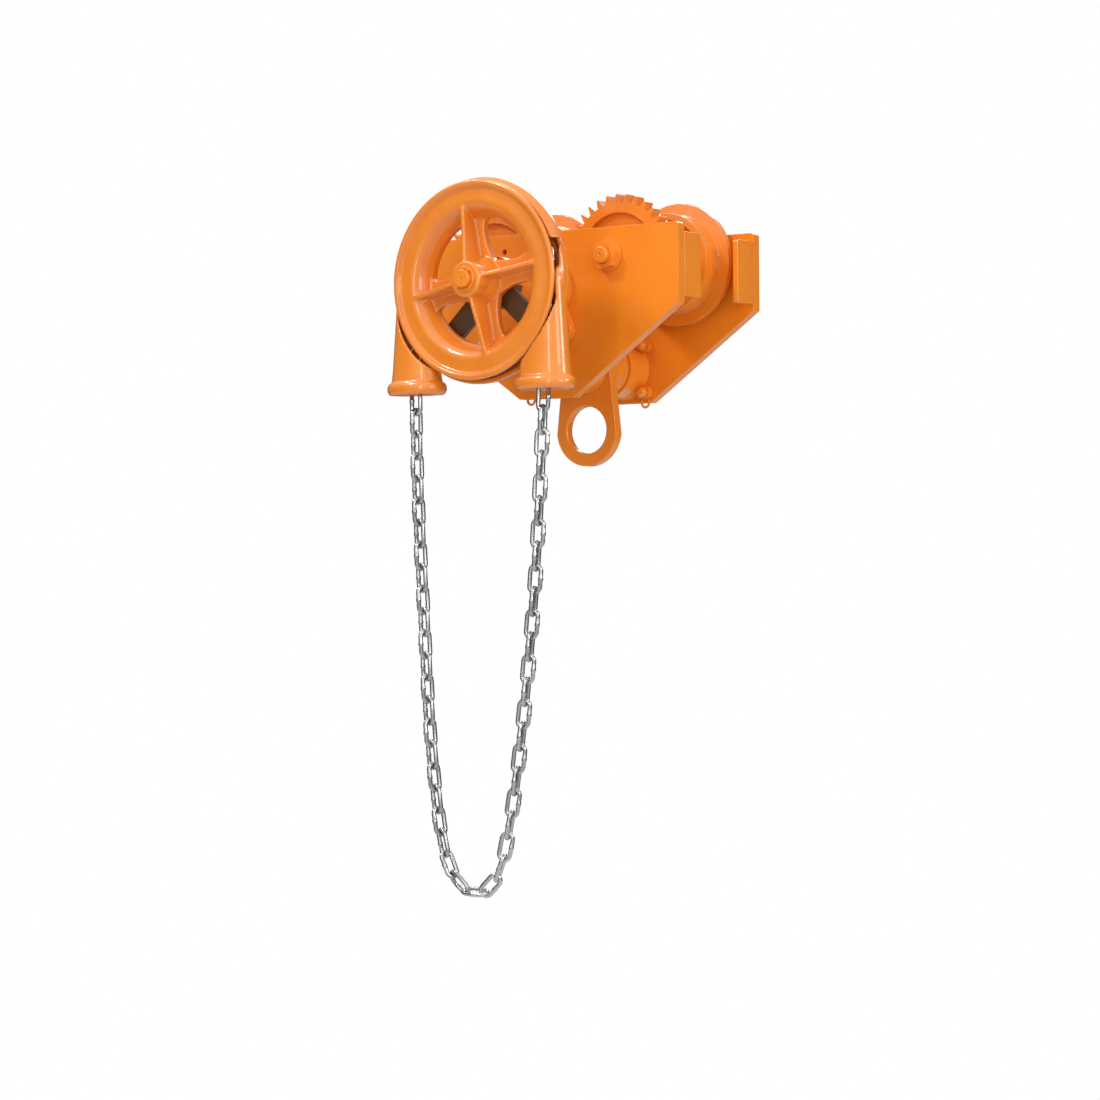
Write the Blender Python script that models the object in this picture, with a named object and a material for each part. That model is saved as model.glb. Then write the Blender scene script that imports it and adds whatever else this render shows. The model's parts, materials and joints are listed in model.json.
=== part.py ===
# Hand-chain geared beam trolley. X runs along the beam, Y across it, Z up.
# The origin is the running surface of the beam flange, midway between the four wheels.
import math

import bmesh
import bpy
import numpy as np
from mathutils import Matrix, Vector

MM = 0.001
GAP = 0.3

# side plates
PLATE_HALF = 178.5
PLATE_TOP = 89.0
PLATE_END_BOTTOM = 1.0
PLATE_BOTTOM = -98.0
PLATE_BOTTOM_HALF = 37.0
PLATE_IN = 71.0
PLATE_T = 12.7

# travelling wheels and gearing
AXLE_X = 86.5
AXLE_Z = 57.0
TREAD_R = 57.0
MODULE = 4.0
GEAR_TEETH = 33
PINION_TEETH = 13
PRESSURE = math.radians(20.0)
CENTRES = MODULE * (GEAR_TEETH + PINION_TEETH) / 2
BACKLASH = 1.0
GEAR_FRONT = -66.0
GEAR_BACK = -51.0
AXLE_R = 9.5
DRIVE_Z = AXLE_Z - math.sqrt(CENTRES**2 - AXLE_X**2)

# hand wheel and chain
WHEEL_FRONT = -221.0
CHAIN_Y = -207.0
PITCH_R = 87.5
CHAIN_R = 8.5
GROOVE_R = 9.3
SPOKE_TURN = math.radians(10.5)

# suspension
BAR_Z = -59.0
BAR_R = 17.0
WASHER_R = 31.0
WASHER_T = 7.2
WASHERS = 4
EYE_DROP = 72.0
EYE_T = 12.0
EYE_HOLE_R = 27.0
EYE_R = 41.5
COLLAR_IN = EYE_T / 2 + 0.6 + WASHERS * (WASHER_T + GAP) + GAP


def clear_scene():
    for obj in list(bpy.data.objects):
        bpy.data.objects.remove(obj, do_unlink=True)


def paint(name, colour, metallic=0.0, roughness=0.35):
    mat = bpy.data.materials.new(name)
    mat.use_nodes = True
    shader = mat.node_tree.nodes["Principled BSDF"]
    shader.inputs["Base Color"].default_value = (*colour, 1.0)
    shader.inputs["Metallic"].default_value = metallic
    shader.inputs["Roughness"].default_value = roughness
    return mat


def add(name, mesh, mat=None, origin=None, sharp=32.0):
    """The finished mesh (in millimetres) as an object whose origin sits at `origin`."""
    shift = Vector(origin) if origin else Vector((0, 0, 0))
    mesh.transform(Matrix.Translation(-shift))
    mesh.transform(Matrix.Scale(MM, 4))
    obj = bpy.data.objects.new(name, mesh)
    obj.location = shift * MM
    bpy.context.scene.collection.objects.link(obj)
    mesh.shade_smooth()
    mesh.set_sharp_from_angle(angle=math.radians(sharp))
    if mat:
        mesh.materials.clear()
        mesh.materials.append(mat)
    return obj


def from_bmesh(bm):
    bmesh.ops.recalc_face_normals(bm, faces=bm.faces)
    mesh = bpy.data.meshes.new("m")
    bm.to_mesh(mesh)
    bm.free()
    if signed_volume(mesh) < 0:
        mesh.flip_normals()
    return mesh


def signed_volume(mesh):
    mesh.calc_loop_triangles()
    total = 0.0
    for tri in mesh.loop_triangles:
        a, b, c = (mesh.vertices[i].co for i in tri.vertices)
        total += a.dot(b.cross(c))
    return total


def lathe(profile, steps=48, centre=(0.0, 0.0, 0.0), axis="Y", start=0.0, turn=360.0):
    """Turns a closed profile of (radius, along) about an axis through `centre`."""
    bm = bmesh.new()
    full = abs(turn - 360.0) < 1e-6
    count = steps if full else steps + 1
    poles = {}
    rings = []
    for k in range(count):
        a = math.radians(start + turn * k / steps)
        row = []
        for i, (r, h) in enumerate(profile):
            if i in poles:
                row.append(poles[i])
                continue
            u = r * math.cos(a)
            v = r * math.sin(a)
            co = {"Y": (u, h, v), "Z": (u, v, h), "X": (h, u, v)}[axis]
            row.append(bm.verts.new(Vector(co) + Vector(centre)))
            if r < 1e-9:
                poles[i] = row[-1]
        rings.append(row)
    n = len(profile)
    for k in range(count if full else steps):
        one = rings[k]
        two = rings[(k + 1) % count]
        for i in range(n):
            j = (i + 1) % n
            corners = [one[i], one[j], two[j], two[i]]
            if i in poles:
                corners.remove(two[i])
            if j in poles:
                corners.remove(two[j])
            if len(corners) > 2:
                bm.faces.new(corners)
    if not full:
        bm.faces.new(rings[0])
        bm.faces.new(rings[-1])
    return from_bmesh(bm)


def prism(outline, low, high, axis="Y"):
    """A closed outline of (u, v) swept from low to high along an axis."""
    bm = bmesh.new()

    def at(u, v, h):
        if axis == "Y":
            return (u, h, v)
        if axis == "Z":
            return (u, v, h)
        return (h, u, v)

    one = [bm.verts.new(at(u, v, low)) for u, v in outline]
    two = [bm.verts.new(at(u, v, high)) for u, v in outline]
    n = len(outline)
    bm.faces.new(one)
    bm.faces.new(two)
    for i in range(n):
        j = (i + 1) % n
        bm.faces.new((one[i], one[j], two[j], two[i]))
    return from_bmesh(bm)


def box(x0, x1, y0, y1, z0, z1):
    return prism([(x0, z0), (x1, z0), (x1, z1), (x0, z1)], y0, y1)


def rod(r, low, high, u, v, steps=24, axis="Y", chamfer=0.0):
    c = chamfer
    pts = [(0, low), (r - c, low), (r, low + c), (r, high - c), (r - c, high), (0, high)]
    if not c:
        pts = [(0, low), (r, low), (r, high), (0, high)]
    centre = {"Y": (u, 0, v), "Z": (u, v, 0), "X": (0, u, v)}[axis]
    return lathe(pts, steps, centre, axis)


def ring(inner, outer, low, high, u, v, steps=28, axis="Y", chamfer=0.0):
    c = chamfer
    pts = [(inner, low), (outer - c, low), (outer, low + c)]
    pts += [(outer, high - c), (outer - c, high), (inner, high)]
    if not c:
        pts = [(inner, low), (outer, low), (outer, high), (inner, high)]
    centre = {"Y": (u, 0, v), "Z": (u, v, 0), "X": (0, u, v)}[axis]
    return lathe(pts, steps, centre, axis)


def hexagon(r, u=0.0, v=0.0, turn=0.0):
    return [
        (
            u + r * math.cos(turn + k * math.pi / 3),
            v + r * math.sin(turn + k * math.pi / 3),
        )
        for k in range(6)
    ]


def combine(base, others, how):
    """Booleans a list of meshes onto the first, one after another."""
    scene = bpy.context.scene.collection
    obj = bpy.data.objects.new("work", base)
    scene.objects.link(obj)
    for other in others:
        tool = bpy.data.objects.new("tool", other)
        scene.objects.link(tool)
        mod = obj.modifiers.new("b", "BOOLEAN")
        mod.operation = how
        mod.solver = "EXACT"
        mod.object = tool
        bpy.context.view_layer.update()
        graph = bpy.context.evaluated_depsgraph_get()
        made = bpy.data.meshes.new_from_object(obj.evaluated_get(graph))
        obj.modifiers.clear()
        bm = bmesh.new()
        bm.from_mesh(made)
        bmesh.ops.remove_doubles(bm, verts=bm.verts, dist=0.004)
        bmesh.ops.dissolve_degenerate(bm, edges=bm.edges, dist=0.002)
        bm.to_mesh(made)
        bm.free()
        obj.data = made
        bpy.data.objects.remove(tool, do_unlink=True)
    mesh = obj.data
    bpy.data.objects.remove(obj, do_unlink=True)
    return mesh


def join(base, *others):
    return combine(base, others, "UNION")


def cut(base, *others):
    return combine(base, others, "DIFFERENCE")


def rounded(corners, radii, steps=4):
    """An outline whose corners are rounded off, each by its own radius."""
    out = []
    n = len(corners)
    for i in range(n):
        p = Vector(corners[i])
        a = (Vector(corners[i - 1]) - p).normalized()
        b = (Vector(corners[(i + 1) % n]) - p).normalized()
        r = radii[i]
        if r <= 0:
            out.append(tuple(p))
            continue
        half = a.angle(b) / 2
        reach = r / math.tan(half)
        centre = p + (a + b).normalized() * (r / math.sin(half))
        first = p + a * reach - centre
        last = p + b * reach - centre
        for k in range(steps + 1):
            t = k / steps
            d = first.lerp(last, t).normalized() * r
            out.append(tuple(centre + d))
    return out


def involute(teeth, backlash, phase):
    """The outline of a spur gear, with a tooth centred on `phase`."""
    pitch = MODULE * teeth / 2
    base = pitch * math.cos(PRESSURE)
    tip = pitch + MODULE * 0.95
    root = pitch - MODULE * 1.2
    half = (math.pi * MODULE / 2 - backlash) / (2 * pitch)
    inv = math.tan(PRESSURE) - PRESSURE

    def flank(r):
        if r <= base:
            return half + inv
        a = math.acos(base / r)
        return half + inv - (math.tan(a) - a)

    low = max(base, root + 0.6)
    radii = [low + 0.8, tip]
    points = []
    for k in range(teeth):
        mid = phase + 2 * math.pi * k / teeth
        points.append((root, mid - flank(low) - 0.15 / pitch))
        for r in radii:
            points.append((r, mid - flank(r)))
        for r in reversed(radii):
            points.append((r, mid + flank(r)))
        points.append((root, mid + flank(low) + 0.15 / pitch))
    return points


def shifted(polar, u, v):
    return [(u + r * math.cos(a), v + r * math.sin(a)) for r, a in polar]


def tube(points, radius, sides=10):
    """A round bar along a polyline, square to it at each end."""
    pts = [Vector(p) for p in points]
    bm = bmesh.new()
    rings = []
    normal = None
    for i, p in enumerate(pts):
        before = (p - pts[i - 1]).normalized() if i else None
        after = (pts[i + 1] - p).normalized() if i + 1 < len(pts) else None
        if before is None:
            way = after
        elif after is None:
            way = before
        else:
            way = (before + after).normalized()
        if normal is None:
            side = Vector((0, 1, 0))
            if abs(way.dot(side)) > 0.9:
                side = Vector((0, 0, 1))
            normal = (side - way * side.dot(way)).normalized()
        else:
            normal = (normal - way * normal.dot(way)).normalized()
        other = way.cross(normal)
        one = []
        for k in range(sides):
            a = 2 * math.pi * k / sides
            d = normal * math.cos(a) + other * math.sin(a)
            one.append(bm.verts.new(p + d * radius))
        rings.append(one)
    for i in range(len(rings) - 1):
        for k in range(sides):
            m = (k + 1) % sides
            bm.faces.new((rings[i][k], rings[i][m], rings[i + 1][m], rings[i + 1][k]))
    bm.faces.new(rings[0])
    bm.faces.new(rings[-1])
    return from_bmesh(bm)


def side_plate(name, side, mat):
    """One side plate: side -1 is the hand-wheel side, +1 the far side."""
    corners = [
        (-PLATE_HALF, PLATE_TOP),
        (-PLATE_HALF, PLATE_END_BOTTOM),
        (-PLATE_BOTTOM_HALF, PLATE_BOTTOM),
        (PLATE_BOTTOM_HALF, PLATE_BOTTOM),
        (PLATE_HALF, PLATE_END_BOTTOM),
        (PLATE_HALF, PLATE_TOP),
    ]
    outline = rounded(corners, [4, 3, 3, 3, 3, 4], 3)
    low, high = sorted((side * PLATE_IN, side * (PLATE_IN + PLATE_T)))
    mesh = prism(outline, low, high)
    tools = [rod(BAR_R + GAP, low - 5, high + 5, 0, BAR_Z, 24)]
    for x in (-AXLE_X, AXLE_X):
        tools.append(rod(AXLE_R + GAP, low - 5, high + 5, x, AXLE_Z, 20))
    if side < 0:
        tools.append(rod(22.0 + GAP, low - 5, high + 5, 0, DRIVE_Z, 28))
        tools.append(rod(3.2, low - 5, high + 5, -57, 70, 12))
        for a in HOUSING_BOLTS:
            x = 57.0 * math.cos(a)
            z = DRIVE_Z + 57.0 * math.sin(a)
            tools.append(rod(5.0 + GAP, low - 5, high + 5, x, z, 14))
    add(name, cut(mesh, *tools), mat)


HOUSING_BOLTS = [math.radians(a) for a in (222.0, 300.0, 90.0)]


def bumper(name, sx, side, mat):
    x0, x1 = sorted((sx * (PLATE_HALF - 7.0), sx * PLATE_HALF))
    y0, y1 = sorted((side * (PLATE_IN - GAP), side * (PLATE_IN - 33.0)))
    corners = [(y0, 8.0), (y1, 8.0), (y1, 79.0), (y0, 79.0)]
    radii = [0, 3, 3, 0] if side < 0 else [3, 0, 0, 3]
    add(name, prism(rounded(corners, radii, 3), x0, x1, "X"), mat)


def geared_wheel(name, sx, mat):
    """A near-side travelling wheel whose gear teeth serve as its flange."""
    x = sx * AXLE_X
    to_pinion = math.atan2(DRIVE_Z - AXLE_Z, -x)
    if sx > 0:
        phase = to_pinion
    else:
        toward = math.atan2(AXLE_Z - DRIVE_Z, AXLE_X)
        step = 2 * math.pi / PINION_TEETH
        behind = (math.pi - 2 * toward) % step
        if behind > step / 2:
            behind -= step
        phase = to_pinion + behind * PINION_TEETH / GEAR_TEETH
    rim = prism(
        shifted(involute(GEAR_TEETH, BACKLASH, phase), x, AXLE_Z), GEAR_FRONT, GEAR_BACK
    )
    tread = rod(TREAD_R, GEAR_BACK - 3.0, -27.0, x, AXLE_Z, 32)
    front = lathe(
        [(26, -80), (51, -80), (49, -60.5), (28, -60.5)],
        28,
        (x, 0, AXLE_Z),
    )
    back = lathe(
        [(22, -10), (49, -10), (45, -37.0), (26, -37.0)],
        24,
        (x, 0, AXLE_Z),
    )
    bore = rod(AXLE_R + 0.5, -90, 10, x, AXLE_Z, 20)
    mesh = cut(join(rim, tread), front, back, bore)
    add(name, mesh, mat, (x, 0, AXLE_Z))


def plain_wheel(name, sx, mat):
    """A far-side travelling wheel, with a plain flange."""
    x = sx * AXLE_X
    profile = [
        (AXLE_R + 0.5, 64.0),
        (AXLE_R + 0.5, 27.0),
        (25.0, 27.0),
        (27.0, 36.0),
        (46.0, 36.0),
        (49.0, 27.0),
        (TREAD_R, 28.0),
        (TREAD_R, 51.5),
        (70.0, 54.0),
        (70.0, 62.0),
        (52.0, 64.5),
        (48.0, 59.0),
        (28.0, 59.0),
        (25.0, 64.0),
    ]
    add(name, lathe(profile, 32, (x, 0, AXLE_Z)), mat, (x, 0, AXLE_Z))


def axle(name, sx, side, mat):
    """A stud axle: a retaining head inside the wheel, a threaded end outside the plate."""
    x = sx * AXLE_X
    out = PLATE_IN + PLATE_T
    profile = [
        (0.0, 20.0),
        (15.0, 20.0),
        (15.0, 26.4),
        (AXLE_R, 26.4),
        (AXLE_R, out + 17.5),
        (AXLE_R - 1.5, out + 19.0),
        (1.6, out + 19.0),
        (0.0, out + 15.0),
    ]
    add(name, lathe([(r, side * h) for r, h in profile], 20, (x, 0, AXLE_Z)), mat)


def axle_nut(name, sx, side, mat):
    """A hexagon nut with its washer face, outside the plate."""
    x = sx * AXLE_X
    out = PLATE_IN + PLATE_T + GAP
    flats = prism(hexagon(16.5, x, AXLE_Z, 0.2 * sx), out + 1.6, out + 12.0)
    washer = rod(18.0, out, out + 2.6, x, AXLE_Z, 20)
    mesh = join(flats, washer)
    mesh = cut(mesh, rod(AXLE_R + GAP, out - 5, out + 20, x, AXLE_Z, 16))
    if side < 0:
        mesh.transform(Matrix.Scale(-1, 4, (0, 1, 0)))
        mesh.flip_normals()
    add(name, mesh, mat)


def hex_bolt(name, u, v, face, way, head_r, head_h, shank_r, shank_l, mat, washer=0.0):
    """A bolt on +Y or -Y: `face` is where its head or washer sits, `way` where the head points."""
    low, high = sorted((face + way * (1.6 if washer else 0), face + way * head_h))
    parts = prism(hexagon(head_r, u, v, 0.3), low, high)
    if washer:
        parts = join(parts, rod(washer, *sorted((face, face + way * 2.4)), u, v, 16))
    shank = rod(shank_r, *sorted((face + way * 1.0, face - way * shank_l)), u, v, 10)
    add(name, join(parts, shank), mat)


def load_bar(mat):
    end = PLATE_IN + PLATE_T + 24.0
    add("load_bar", rod(BAR_R, -end, end, 0, BAR_Z, 24, chamfer=2.0), mat)


def bar_nut(name, side, mat):
    out = PLATE_IN + PLATE_T + GAP
    y0, y1 = sorted((side * out, side * (out + 16.0)))
    mesh = prism(hexagon(26.0, 0, BAR_Z, 0.5), y0, y1)
    add(name, cut(mesh, rod(BAR_R + GAP, y0 - 5, y1 + 5, 0, BAR_Z, 24)), mat)


def bar_collar(name, side, mat):
    """The round boss that holds the load bar to the plate, with four bolt ears."""
    y0 = PLATE_IN - GAP
    body = lathe(
        [(0, y0), (36, y0), (33.5, y0 - 9), (33.5, COLLAR_IN), (0, COLLAR_IN)],
        28,
        (0, 0, BAR_Z),
    )
    ears = []
    for a in COLLAR_BOLTS:
        u = EAR_R * math.cos(a)
        v = BAR_Z + EAR_R * math.sin(a)
        ears.append(rod(8.5, y0 - 8.0, y0, u, v, 12))
    mesh = join(body, *ears)
    holes = [rod(BAR_R + GAP, 20, 80, 0, BAR_Z, 24)]
    mesh = cut(mesh, *holes)
    if side < 0:
        mesh.transform(Matrix.Scale(-1, 4, (0, 1, 0)))
        mesh.flip_normals()
    add(name, mesh, mat)


EAR_R = 42.0
COLLAR_BOLTS = [math.radians(a) for a in (40.0, 140.0, 220.0, 320.0)]


def collar_bolt(name, a, side, mat):
    """A cap nut on a collar ear."""
    u = EAR_R * math.cos(a)
    v = BAR_Z + EAR_R * math.sin(a)
    base = PLATE_IN - GAP - 8.0 - GAP
    dome = [(0, base), (6.5, base), (6.3, base - 4.0), (4.0, base - 7.2), (0, base - 8)]
    mesh = lathe([(r, side * h) for r, h in dome], 12, (u, 0, v))
    add(name, mesh, mat)


def adjusting_washer(name, y0, y1, mat):
    add(name, ring(BAR_R + 0.5, WASHER_R, y0, y1, 0, BAR_Z, 24), mat)


def keeper_loop(name, side, mat):
    """A bent wire keeper that hangs from a collar ear and shows below the plate."""
    x = side * EAR_R * math.cos(COLLAR_BOLTS[0])
    y = side * (PLATE_IN - 3.0)
    top = BAR_Z - EAR_R * math.sin(COLLAR_BOLTS[0]) - 8.5 - GAP
    pts = [(x + 5.0 * side, y, top)]
    for k in range(7):
        a = math.pi * k / 6
        pts.append((x + 5.2 * side * math.cos(a), y, -97.6 - 6.0 * math.sin(a)))
    pts.append((x - 5.0 * side, y, top))
    add(name, tube(pts, 1.6, 6), mat)


def suspension_eye(mat):
    """The flat eye that the hoist hangs from, swinging on the load bar."""
    head = 33.0
    drop = EYE_DROP
    lean = math.asin((EYE_R - head) / drop)
    points = []
    for k in range(13):
        a = -lean + (math.pi + 2 * lean) * k / 12
        points.append((head * math.cos(a), BAR_Z + head * math.sin(a)))
    for k in range(21):
        a = math.pi + lean + (math.pi - 2 * lean) * k / 20
        points.append((EYE_R * math.cos(a), BAR_Z - drop + EYE_R * math.sin(a)))
    mesh = prism(points, -EYE_T / 2, EYE_T / 2)
    bar_hole = rod(BAR_R + 0.5, -20, 20, 0, BAR_Z, 24)
    c = 1.4
    h = EYE_T / 2
    load_hole = lathe(
        [
            (0, -20),
            (EYE_HOLE_R + c, -20),
            (EYE_HOLE_R + c, -h),
            (EYE_HOLE_R, -h + c),
            (EYE_HOLE_R, h - c),
            (EYE_HOLE_R + c, h),
            (EYE_HOLE_R + c, 20),
            (0, 20),
        ],
        32,
        (0, 0, BAR_Z - drop),
    )
    add("suspension_eye", cut(mesh, bar_hole, load_hole), mat, (0, 0, BAR_Z))


def drive_shaft(mat):
    profile = [
        (0.0, -48.5),
        (10.0, -48.5),
        (10.0, -185.0),
        (15.0, -185.0),
        (15.0, -188.5),
        (10.0, -188.5),
        (10.0, -240.0),
        (8.8, -241.5),
        (2.0, -241.5),
        (0.0, -239.5),
    ]
    mesh = lathe(profile, 20, (0, 0, DRIVE_Z))
    mesh = cut(mesh, cross_rod(1.9, -20, 20, -238.0, math.radians(50.0)))
    add("drive_shaft", mesh, mat, (0, 0, DRIVE_Z))


def cross_rod(r, low, high, y, a, sides=8):
    """A small round bar square to the drive axis, at angle `a` round it."""
    d = Vector((math.cos(a), 0, math.sin(a)))
    mid = Vector((0, y, DRIVE_Z))
    return tube([mid + d * low, mid + d * high], r, sides)


def wheel_pin(mat):
    a = math.radians(50.0)
    add("hand_wheel_pin", cross_rod(1.5, -13.5, 13.0, -238.0, a), mat, (0, 0, DRIVE_Z))


def drive_pinion(mat):
    toward = math.atan2(AXLE_Z - DRIVE_Z, AXLE_X)
    phase = toward + math.pi / PINION_TEETH
    outline = shifted(involute(PINION_TEETH, BACKLASH, phase), 0, DRIVE_Z)
    mesh = prism(outline, GEAR_FRONT - 0.5, GEAR_BACK - 0.5)
    mesh = cut(mesh, rod(10.0 + GAP, -90, 0, 0, DRIVE_Z, 20))
    add("drive_pinion", mesh, mat, (0, 0, DRIVE_Z))


def shaft_housing(mat):
    """The bearing tube that carries the drive shaft out to the hand wheel."""
    face = -(PLATE_IN + PLATE_T + GAP)
    profile = [
        (10.0 + GAP, face + 8.0),
        (22.0, face + 8.0),
        (22.0, face),
        (38.0, face),
        (38.0, face - 9.0),
        (27.0, face - 13.0),
        (20.0, face - 30.0),
        (20.0, -184.0),
        (10.0 + GAP, -184.0),
    ]
    mesh = lathe(profile, 28, (0, 0, DRIVE_Z))
    ears = []
    for a in HOUSING_BOLTS:
        d = Vector((math.cos(a), math.sin(a)))
        n = Vector((-d.y, d.x))
        mid = Vector((0, DRIVE_Z))
        pts = [mid + d * 26 - n * 16]
        for k in range(7):
            t = -math.pi / 2 + math.pi * k / 6
            pts.append(mid + d * (57 + 13 * math.cos(t)) + n * (13 * math.sin(t)))
        pts.append(mid + d * 26 + n * 16)
        ears.append(prism([tuple(p) for p in pts], face - 9.0, face))
    mesh = join(mesh, *ears)
    holes = []
    for a in HOUSING_BOLTS:
        u = 57.0 * math.cos(a)
        v = DRIVE_Z + 57.0 * math.sin(a)
        holes.append(rod(5.0 + GAP, face - 20, face + 5, u, v, 14))
    add("shaft_housing", cut(mesh, *holes), mat)


def hand_wheel(mat):
    f = WHEEL_FRONT
    front = [
        (68.0, f + 28.0),
        (68.6, f + 19.0),
        (72.0, f + 13.0),
        (77.0, f + 6.8),
        (82.0, f + 3.0),
        (85.6, f + 1.4),
        (88.5, f + 1.8),
        (101.8, f + 2.4),
        (104.0, f + 0.2),
        (107.4, f + 0.3),
        (109.0, f + 2.8),
        (107.6, f + 4.7),
    ]
    groove = []
    for k in range(7):
        a = math.pi * k / 6
        groove.append((PITCH_R - GROOVE_R * math.sin(a), CHAIN_Y - GROOVE_R * math.cos(a)))
    back = [(101.0, f + 23.6), (101.0, f + 28.0)]
    rim = lathe(front + groove + back, 56, (0, 0, DRIVE_Z))
    hub = lathe(
        [
            (0, -190.0),
            (26.0, -190.0),
            (26.0, -205.0),
            (20.0, -216.0),
            (20.0, -232.5),
            (18.5, -234.0),
            (0, -234.0),
        ],
        28,
        (0, 0, DRIVE_Z),
    )
    parts = [hub]
    for k in range(4):
        a = SPOKE_TURN + k * math.pi / 2
        parts.append(spoke_web(a))
        parts.append(spoke_rib(a))
    mesh = join(rim, *parts)
    mesh = cut(mesh, rod(10.0 + GAP, -260, -150, 0, DRIVE_Z, 20))
    add("hand_wheel", mesh, mat, (0, 0, DRIVE_Z))


def spoke_web(a):
    """The flat rear web of one spoke, flared into the hub and the rim."""
    half = [(12, 21.5), (24, 18.0), (38, 14.5), (56, 13.5), (70, 20.0)]
    pts = [(r, -w) for r, w in half] + [(r, w) for r, w in reversed(half)]
    c, s = math.cos(a), math.sin(a)
    out = [(r * c - w * s, DRIVE_Z + r * s + w * c) for r, w in pts]
    return prism(out, -203.5, -195.0)


def spoke_rib(a):
    """The deep front rib of one spoke, running out over the dish of the rim."""
    side = [
        (10, -196.5),
        (70, -196.5),
        (70.5, -206.0),
        (75, -211.5),
        (80, -216.0),
        (83.5, -218.2),
        (83.0, -219.2),
        (50, -224.0),
        (24, -230.0),
        (10, -231.0),
    ]
    bm = bmesh.new()
    c, s = math.cos(a), math.sin(a)
    rows = []
    for sign in (-1, 1):
        row = []
        for r, y in side:
            n = sign * (1.8 + 0.055 * (y + 231.0))
            row.append(bm.verts.new((r * c - n * s, y, DRIVE_Z + r * s + n * c)))
        rows.append(row)
        bm.faces.new(row)
    for i in range(len(side)):
        j = (i + 1) % len(side)
        bm.faces.new((rows[0][i], rows[0][j], rows[1][j], rows[1][i]))
    return from_bmesh(bm)


def wheel_washer(mat):
    mesh = ring(10.0 + GAP, 14.0, -236.0, -234.0 - GAP, 0, DRIVE_Z, 24)
    add("hand_wheel_washer", mesh, mat, (0, 0, DRIVE_Z))


GUIDE_BACK = -181.0
ARM_TURNS = [math.radians(a) for a in (-43.0, -137.0)]


def oval(profile, steps, sx, flat):
    """A turned shape on a chain strand's upright line, narrowed across the beam."""
    mesh = lathe(profile, steps, (0, 0, 0), "Z")
    mesh.transform(Matrix.Scale(flat, 4, (0, 1, 0)))
    mesh.transform(Matrix.Translation((sx * PITCH_R, CHAIN_Y, 0)))
    return mesh


def chain_guide(mat):
    """The cast ring behind the hand wheel, its hood and its two chain spouts."""
    centre = (0, 0, DRIVE_Z)
    channel = [
        (79.0, GUIDE_BACK),
        (98.0, GUIDE_BACK),
        (106.5, -187.0),
        (112.0, -197.0),
        (113.3, -206.0),
        (108.5, -213.6),
        (105.0, -213.6),
        (107.6, -206.0),
        (105.0, -194.0),
        (98.0, -186.0),
        (79.0, -186.0),
    ]
    body = lathe(channel, 48, centre)
    body = cut(body, box(-140, 140, -240, -206.5, DRIVE_Z - 140, DRIVE_Z - 6))
    outer = []
    inner = []
    lip_z = DRIVE_Z - 115.0
    bead = []
    for k in range(8):
        t = 2 * math.pi * k / 8
        bead.append((32.0 + 5.4 * math.cos(t), lip_z + 7.0 * math.sin(t)))
    cone = [(0, lip_z), (32.4, lip_z), (23.4, DRIVE_Z + 3.0), (0, DRIVE_Z + 3.0)]
    bore = [
        (0, lip_z - 20),
        (31.6, lip_z - 20),
        (29.4, lip_z + 4),
        (20.0, DRIVE_Z - 2.0),
        (20.0, DRIVE_Z + 6.0),
        (0, DRIVE_Z + 6.0),
    ]
    for sx in (-1, 1):
        outer.append(oval(cone, 28, sx, 0.62))
        outer.append(oval(bead, 28, sx, 0.66))
        inner.append(oval(bore, 24, sx, 0.57))
    mesh = join(body, *outer)
    clearance = lathe(
        [
            (0, -300),
            (111.6, -300),
            (111.6, -214.2),
            (104.2, -214.2),
            (104.2, -195.0),
            (97.0, -186.8),
            (0, -186.8),
        ],
        48,
        centre,
    )
    eye = rod(80.3, -300, -150, 0, DRIVE_Z, 44)
    window = prism(
        rounded([(-222, 11), (-209.0, 11), (-209.0, 41), (-222, 41)], [0, 6, 6, 0], 4), 90.0, 125.0, "X"
    )
    window.transform(Matrix.Translation((0, 0, DRIVE_Z)))
    bolts = []
    for a in ARM_TURNS:
        bolts.append(rod(4.3, -200, -170, 90 * math.cos(a), DRIVE_Z + 90 * math.sin(a), 10))
    mesh = cut(mesh, *inner, clearance, eye, window, *bolts)
    add("chain_guide", mesh, mat, None, 38.0)


def guide_bracket(mat):
    """The two flat arms that carry the chain guide on the bearing tube."""
    front = GUIDE_BACK + GAP
    back = front + 7.0
    mesh = ring(18.0, 29.0, front, back + 8.0, 0, DRIVE_Z, 28)
    arms = []
    holes = []
    for a in ARM_TURNS:
        c, s = math.cos(a), math.sin(a)
        pts = [(24, -12.5), (97, -12.5), (97, 12.5), (24, 12.5)]
        out = [(r * c - w * s, DRIVE_Z + r * s + w * c) for r, w in pts]
        arms.append(prism(out, front, back))
        holes.append(rod(4.3, front - 5, back + 5, 90 * c, DRIVE_Z + 90 * s, 10))
    mesh = join(mesh, *arms)
    bore = rod(20.0 + GAP, -200, -150, 0, DRIVE_Z, 28)
    add("guide_bracket", cut(mesh, bore, *holes), mat)


def wheel_run(degrees):
    """The chain's distance from the wheel's axis: it stands off a little where it leaves."""
    return PITCH_R + 7.1 * math.exp(-(((degrees - 13.0) / 17.0) ** 2))


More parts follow.
